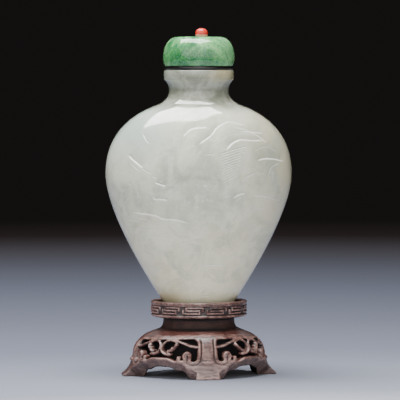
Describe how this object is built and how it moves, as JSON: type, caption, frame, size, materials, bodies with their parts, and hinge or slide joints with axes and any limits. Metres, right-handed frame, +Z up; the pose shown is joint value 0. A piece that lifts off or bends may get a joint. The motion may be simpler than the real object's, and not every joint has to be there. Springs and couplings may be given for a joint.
{
  "type": "snuff bottle",
  "caption": "Flattened jade snuff bottle with a capped stone stopper and coral bead, standing in the cup of a pierced, carved wood stand with short scroll feet.",
  "frame": {"origin": "on the surface that the stand rests on, under the middle of the stand", "axes": "+Z up along the bottle, X across the bottle's broad faces and through the side feet, -Y out of the front face"},
  "size_m": [0.0484, 0.0328, 0.0894],
  "materials": {
    "dark_wood": "dark reddish-brown hardwood, waxed to a soft gloss",
    "pale_jade": "pale greyish-green jade, polished and faintly translucent",
    "black_horn": "black horn or hard resin, polished",
    "green_stone": "mottled green stone, polished",
    "coral": "coral-red, polished"
  },
  "bodies": {
    "root": {"stand": "dark_wood", "bottle": "pale_jade", "stopper_collar": "black_horn", "stopper_cap": "green_stone", "stopper_finial": "coral"}
  },
  "joints": []
}
